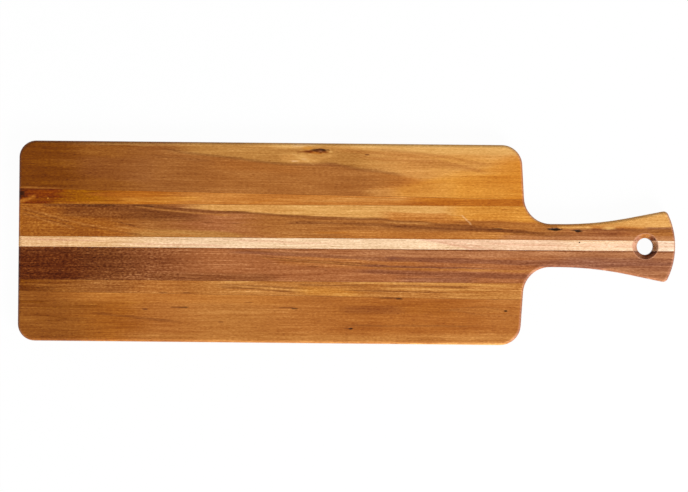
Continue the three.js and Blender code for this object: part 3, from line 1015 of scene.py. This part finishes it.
FAR_EDGE = Strip(
    node="far_edge_strip",
    slot="far_edge_wood",
    seed=7.0,
    ground=[
        (0, "umber"),
        (30, "umber"),
        (77, "bistre"),
        (130, "russet"),
        (190, "chestnut"),
        (300, "chestnut"),
        (350, "amber"),
        (385, "gold"),
        (425, "gold"),
        (448, "marigold"),
    ],
    streaks=(
        Streak("olive", [(165, 85.6, 7.4), (188, 84.5, 8.5), (218, 82.6, 10.4), (236, 81.7, 11.3),
                         (276, 82.2, 10.8), (300, 80.5, 12.5)], soft=2.5, fade=45, strength=0.85),
        Streak("honey", [(225, 88, 1.5), (300, 88, 2.5), (350, 86, 4), (440, 83, 6)], soft=4, strength=0.65),
        Streak("honey", [(320, 80, 13), (341, 78, 15), (363, 76.5, 16.5), (425, 79, 14)],
               soft=4, fade=25, strength=0.6),
        Streak("corn", [(305, 88.5, 1.5), (350, 87.5, 4), (440, 86, 4.5)], soft=4, fade=25, strength=0.9),
        Streak("honey", [(318, 46, 1), (350, 46, 4), (375, 48, 5)], soft=4, fade=20, strength=0.4),
        Streak("gold", [(345, 47, 3), (385, 52, 8), (440, 58, 12)], soft=6, fade=20, strength=0.6),
        Streak("russet", [(288, 62, 5), (320, 60, 5), (336, 59, 3)], soft=4, fade=16, strength=0.35),
        Streak("nutmeg", [(190, 68, 2), (240, 66, 2.5)], soft=4, fade=25, strength=0.4),
        Streak("walnut", [(140, 80.8, 0.3), (160, 78.2, 0.4), (188, 75.4, 0.4), (218, 71.8, 0.5),
                          (236, 70, 0.5), (250, 69.6, 0.5)], soft=1.4, fade=20, strength=0.45),
        Streak("walnut", [(126, 76.2, 0.3), (161, 73, 0.4)], soft=1.4, fade=15, strength=0.3),
        Streak("walnut", [(280, 70, 0.4), (300, 66.6, 0.5), (330, 63, 0.6)], soft=2, fade=15, strength=0.35),
        Streak("tan", [(295, 82, 0.3), (340, 79.4, 0.4), (372, 74.5, 0.6), (405, 66.5, 0.3)],
               soft=2, fade=20, strength=0.4),
        Streak("tan", [(310, 77, 0.3), (350, 74.4, 0.4), (385, 70, 0.5)], soft=2, fade=20, strength=0.4),
        Streak("tan", [(325, 84, 0.3), (372, 79, 0.4), (408, 72.5, 0.5)], soft=2, fade=20, strength=0.4),
        Streak("oak", [(360, 72, 1.5), (402, 68, 2)], soft=3.5, fade=20, strength=0.4),
        Streak("marigold", [(400, 53, 6), (440, 53, 7)], soft=5, fade=20, strength=0.3),
        Streak("marigold", [(432, 66, 9), (450, 67, 13)], soft=7, fade=20, strength=0.45),
        Streak("amber", [(1, 47, 0.4), (26, 46.8, 0.4)], soft=1.2, fade=18, strength=0.35),
        # A painted highlight along the far rim
        Streak("corn", [(85, 87, 0.5), (330, 87, 0.6)], soft=1.2, fade=50, strength=0.28),
        Streak("plum", [(65, 66, 6), (109, 64, 8)], soft=6, fade=20, strength=0.3),
        Streak("corn", [(234, 86.2, 0.6), (248, 86.5, 1), (262, 86.7, 0.8)], soft=1.8, fade=14, deep=5),
        Streak("straw", [(246, 86.6, 0.3), (260, 86.8, 0.4)], soft=1.2, fade=6, strength=0.6, deep=5),
        Streak("honey", [(236, 76, 1.5), (250, 75, 3), (262, 73.5, 1.5)],
               soft=3, fade=8, strength=0.7, deep=6),
        Streak("corn", [(246, 78.5, 0.3), (253, 76.8, 0.4), (262, 73.8, 0.2)],
               soft=1.2, fade=5, strength=0.45, deep=5),
        Streak("corn", [(248, 76.2, 0.3), (255, 73.8, 0.4), (259, 71.5, 0.2)],
               soft=1.2, fade=5, strength=0.45, deep=5),
        Streak("honey", [(256, 77.6, 0.5), (267, 77, 0.9), (277, 78.6, 0.4)],
               soft=2, fade=6, strength=0.5, deep=5),
        Streak("plum", [(252, 70.6, 0.5), (278, 69.8, 0.8)], soft=2, fade=12, strength=0.4, deep=8),
    ),
    marks=(
        Mark("straw", (244, 72.8), 4.5, 1.2, soft=0.95, strength=0.75, reach_down=3),
        Mark("straw", (253, 74.6), 3.5, 1.4, soft=0.95, strength=0.5, reach_down=3),
        Mark("corn", (277, 81.4), 3, 1.5, soft=0.95, strength=0.7, reach_down=3),
        Mark("olive", (270.5, 85.4), 4, 1.5, soft=0.9, strength=0.7, reach_down=3),
        Mark("gold", (256, 84.4), 7, 1.8, soft=0.9, strength=0.8, reach_down=3),
        Mark("corn", (258.5, 79), 2.4, 1.1, soft=0.95, strength=0.7, reach_down=3),
        Mark("corn", (251.5, 76.4), 9, 3.4, soft=1, ragged=1, strength=0.45, reach_down=3),
        Mark("rust", (264, 80.4), 10, 1.9, soft=0.8, ragged=0.6, strength=0.8),
        Mark("mahogany", (258, 81.4), 7.5, 1.7, soft=0.7, ragged=0.6, strength=0.9),
        Mark("dark heart", (257, 81.3), 5, 1, soft=0.8, ragged=0.5, strength=0.8),
        Mark("dark heart", (267, 82.3), 9, 2.3, ragged=0.8, strength=0.9),
        Mark("bark", (263, 82.9), 5, 0.9, ragged=0.8, strength=0.65),
        Mark("bark", (271, 83), 4.6, 0.9, ragged=0.9, strength=0.7, hollow=0.5),
        Mark("mahogany", (272, 80.8), 4, 0.9, soft=0.7, ragged=0.7, strength=0.8),
        Mark("cocoa", (267.6, 81.8), 2.8, 0.8, soft=0.9, strength=0.75),
        Mark("mahogany", (250, 81), 5, 0.9, soft=0.9, ragged=0.3, strength=0.6),
        Mark("walnut", (309, 79.2), 2.6, 0.8, strength=0.85),
    ),
    knot=Mark("", (265, 82), 30, 9, reach_down=12, strength=0.7),
)
STRIPS = [NEAR_EDGE, NEAR_TAPER, NEAR_CORE, PALE, FAR_CORE, FAR_TAPER, FAR_EDGE]
PALE_TIP_NODE = "pale_strip_tip"


# Strip meshes: how near corners are welded, how flat a whole face is, where shading breaks, and how fine,
# how big and how torn a hollow's lens is
WELD_DISTANCE = 0.001 * MM
FLAT_ANGLE = math.radians(0.2)
SHARP_ANGLE = math.radians(30)
LENS_SUBDIVISIONS = 3
LENS_RADIUS = 0.8
LENS_TEAR = 0.5
TEARS_PER_LENS = 2


def add_object(name, data):
    made = bpy.data.objects.new(name, data)
    bpy.context.scene.collection.objects.link(made)
    return made


def clean_mesh(node):
    """The node's solid with its corners welded and its flat faces whole."""
    work = bmesh.new()
    work.from_mesh(frame["nodes"][node].data)
    bmesh.ops.remove_doubles(work, verts=work.verts, dist=WELD_DISTANCE)
    bmesh.ops.dissolve_limit(work, angle_limit=FLAT_ANGLE, verts=work.verts, edges=work.edges)
    work.verts.index_update()
    corners = [corner.co.copy() for corner in work.verts]
    faces = [[corner.index for corner in face.verts] for face in work.faces]
    work.free()
    mesh = bpy.data.meshes.new(node)
    mesh.from_pydata(corners, [], faces)
    return mesh


def hollow_cutter(hollows):
    """Ragged lenses that open in the serving face, one for each hollow mark."""
    work = bmesh.new()
    for mark in hollows:
        along, across = mark.centre
        centre = Vector((BLADE_END_X + along * MM, across * MM, TOP_Z))
        reach = Vector((mark.half_length, mark.half_width, mark.hollow)) * MM
        ball = bmesh.ops.create_icosphere(work, subdivisions=LENS_SUBDIVISIONS, radius=LENS_RADIUS)
        for corner in ball["verts"]:
            torn_at = corner.co * TEARS_PER_LENS + Vector((along, across, 0))
            torn = 1 + LENS_TEAR * mark.ragged * ripple.noise(torn_at)
            corner.co = centre + corner.co * reach * torn
    mesh = bpy.data.meshes.new("hollows")
    work.to_mesh(mesh)
    work.free()
    return mesh


def carve(mesh, hollows):
    """The mesh with its hollows cut out."""
    block = add_object("block", mesh)
    cutter = add_object("cutter", hollow_cutter(hollows))
    cut = block.modifiers.new("hollows", "BOOLEAN")
    cut.object = cutter
    cut.operation = "DIFFERENCE"
    cut.solver = "EXACT"
    carved = bpy.data.meshes.new_from_object(block.evaluated_get(bpy.context.evaluated_depsgraph_get()))
    for thing in (block, cutter):
        bpy.data.objects.remove(thing)
    return carved


def add_strip(node, strip, material):
    mesh = clean_mesh(node)
    hollows = [mark for mark in strip.marks if mark.hollow and node == strip.node]
    if hollows:
        mesh = carve(mesh, hollows)
    mesh.materials.clear()
    mesh.materials.append(material)
    mesh.shade_smooth()
    mesh.set_sharp_from_angle(angle=SHARP_ANGLE)
    piece = add_object(node + "_wood", mesh)
    even = piece.modifiers.new("even shading", "WEIGHTED_NORMAL")
    even.keep_sharp = True
    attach(piece, "root")
    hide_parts(node)


for strip in STRIPS:
    wood = strip_wood(strip)
    add_strip(strip.node, strip, wood)
    if strip is PALE:
        add_strip(PALE_TIP_NODE, strip, wood)

glue = dried_glue()
for name, node in frame["nodes"].items():
    if name.startswith("glue_line"):
        node.data.materials.clear()
        node.data.materials.append(glue)


# Stage: a white floor that keeps a faint shadow, one soft lamp and a sky that is brightest at the horizon
WHITE = (1, 1, 1, 1)
FLOOR_HALF = 4.0
FLOOR_DROP = 0.2 * MM
FLOOR_WHITE_SHARE = 0.97
SKY_LIGHT = 0.295
SIDE_LIGHT = 1.75
SIDE_FALLOFF = 2.0
FAR_SIDE_SHARE = 0.05
SKY_TURN = math.radians(30)
DIM_CEILING = 0.05
CEILING_START, CEILING_FULL = 0.2, 0.5
LAMP_PLACE = (1.5, -1.8, 1.88)
LAMP_SIZE = 1.4
LAMP_WATTS = 90


def seen_directly(path):
    """1 where a camera, mirror or glass ray looks, and 0 for the light on the object."""
    tree = path["Is Camera Ray"].id_data
    mirrored = calc(tree, "MAXIMUM", path["Is Glossy Ray"], path["Is Transmission Ray"])
    return calc(tree, "MAXIMUM", path["Is Camera Ray"], mirrored)


def floor_paper():
    """White paper that shows a little of the light on it, and is clear from underneath."""
    material = bpy.data.materials.new("floor")
    tree = empty_tree(material)
    paper = add(tree, "ShaderNodeBsdfDiffuse", {"Color": WHITE})
    white = add(tree, "ShaderNodeEmission", {"Color": WHITE, "Strength": 1.0})
    path = add(tree, "ShaderNodeLightPath").outputs
    share = calc(tree, "MULTIPLY", seen_directly(path), FLOOR_WHITE_SHARE)
    above = add(tree, "ShaderNodeMixShader", {0: share, 1: paper.outputs[0], 2: white.outputs[0]})
    clear = add(tree, "ShaderNodeBsdfTransparent")
    underneath = add(tree, "ShaderNodeNewGeometry").outputs["Backfacing"]
    sides = add(tree, "ShaderNodeMixShader", {0: underneath, 1: above.outputs[0], 2: clear.outputs[0]})
    output = add(tree, "ShaderNodeOutputMaterial")
    tree.links.new(sides.outputs[0], output.inputs["Surface"])
    return material


def make_floor():
    turns = [(-1, -1), (1, -1), (1, 1), (-1, 1)]
    corners = [(x * FLOOR_HALF, y * FLOOR_HALF, 0) for x, y in turns]
    mesh = bpy.data.meshes.new("floor")
    mesh.from_pydata(corners, [], [range(len(corners))])
    mesh.materials.append(floor_paper())
    floor = add_object("floor", mesh)
    floor.location.z = cad_low.z - FLOOR_DROP
    floor.visible_diffuse = False
    floor.visible_shadow = False


def make_sky():
    """Light from all round, brightest low down on the near side, and seen as a white backdrop under a dim
    ceiling."""
    world = bpy.data.worlds.new("studio")
    bpy.context.scene.world = world
    tree = empty_tree(world)
    path = add(tree, "ShaderNodeLightPath").outputs
    right, far, height = split(tree, add(tree, "ShaderNodeTexCoord").outputs["Generated"])
    low = calc(tree, "POWER", less(tree, calc(tree, "ABSOLUTE", height)), SIDE_FALLOFF)
    away = calc(tree, "MULTIPLY", right, math.sin(SKY_TURN))
    away = calc(tree, "MULTIPLY_ADD", far, math.cos(SKY_TURN), away)
    nearness = along_line(tree, away, -1.0, 1.0, 1.0, FAR_SIDE_SHARE)
    light = calc(tree, "MULTIPLY_ADD", calc(tree, "MULTIPLY", low, nearness), SIDE_LIGHT, SKY_LIGHT)
    ceiling = ease(tree, height, CEILING_START, CEILING_FULL)
    overhead = calc(tree, "MULTIPLY", ceiling, less(tree, path["Is Camera Ray"]))
    backdrop = between(tree, overhead, 1.0, DIM_CEILING)
    strength = between(tree, seen_directly(path), light, backdrop)
    sky = add(tree, "ShaderNodeBackground", {"Color": WHITE, "Strength": strength})
    output = add(tree, "ShaderNodeOutputWorld")
    tree.links.new(sky.outputs[0], output.inputs["Surface"])


def make_lamp():
    lamp = bpy.data.lights.new("key lamp", "AREA")
    lamp.size = LAMP_SIZE
    lamp.energy = LAMP_WATTS
    holder = add_object("key lamp", lamp)
    holder.location = LAMP_PLACE
    towards_board = Vector((0, 0, TOP_Z)) - holder.location
    holder.rotation_euler = towards_board.to_track_quat("-Z", "Y").to_euler()


def make_camera():
    camera = bpy.data.cameras.new("camera")
    camera.sensor_fit = "HORIZONTAL"
    camera.sensor_width = SENSOR_WIDTH_MM
    camera.lens = SENSOR_WIDTH_MM * CAMERA_DISTANCE / (PHOTO_WIDTH_PX * BOARD_PER_PIXEL)
    holder = add_object("camera", camera)
    holder.location = (*VIEW_CENTRE, TOP_Z + CAMERA_DISTANCE)
    holder.rotation_euler = (0, 0, VIEW_TURN)
    bpy.context.scene.camera = holder


make_floor()
make_sky()
make_lamp()
make_camera()
bpy.context.scene.view_settings.view_transform = "Standard"
